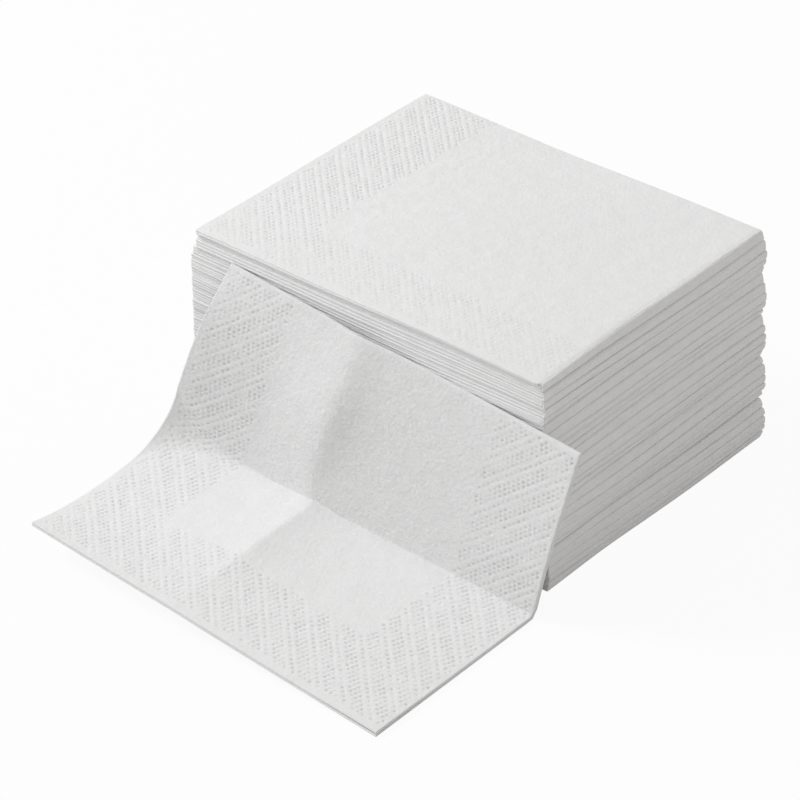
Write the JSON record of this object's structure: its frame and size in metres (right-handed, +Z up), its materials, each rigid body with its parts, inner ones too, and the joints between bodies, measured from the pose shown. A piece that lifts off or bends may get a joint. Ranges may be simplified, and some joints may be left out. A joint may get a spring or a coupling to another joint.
{
  "type": "stack of paper napkins",
  "caption": "Stack of quarter-folded white paper napkins with an embossed border, and one opened napkin leaning on its front.",
  "frame": {"origin": "middle of the stack's underside, on the table", "axes": "+X along the napkins' long side, towards the second fold; -Y to the front, where the opened napkin lies; +Z up"},
  "size_m": [0.1792, 0.2347, 0.0905],
  "materials": {
    "tissue": "matte"
  },
  "bodies": {
    "root": {"napkin_01": "tissue", "napkin_02": "tissue", "napkin_03": "tissue", "napkin_04": "tissue", "napkin_05": "tissue", "napkin_06": "tissue", "napkin_07": "tissue", "napkin_08": "tissue", "napkin_09": "tissue", "napkin_10": "tissue", "napkin_11": "tissue", "napkin_12": "tissue", "napkin_13": "tissue", "napkin_14": "tissue", "napkin_15": "tissue", "napkin_16": "tissue", "napkin_17": "tissue", "napkin_18": "tissue", "napkin_19": "tissue", "napkin_20": "tissue", "napkin_21": "tissue", "napkin_22": "tissue", "napkin_23": "tissue", "napkin_24": "tissue", "napkin_25": "tissue", "opened_napkin": "tissue"}
  },
  "joints": []
}
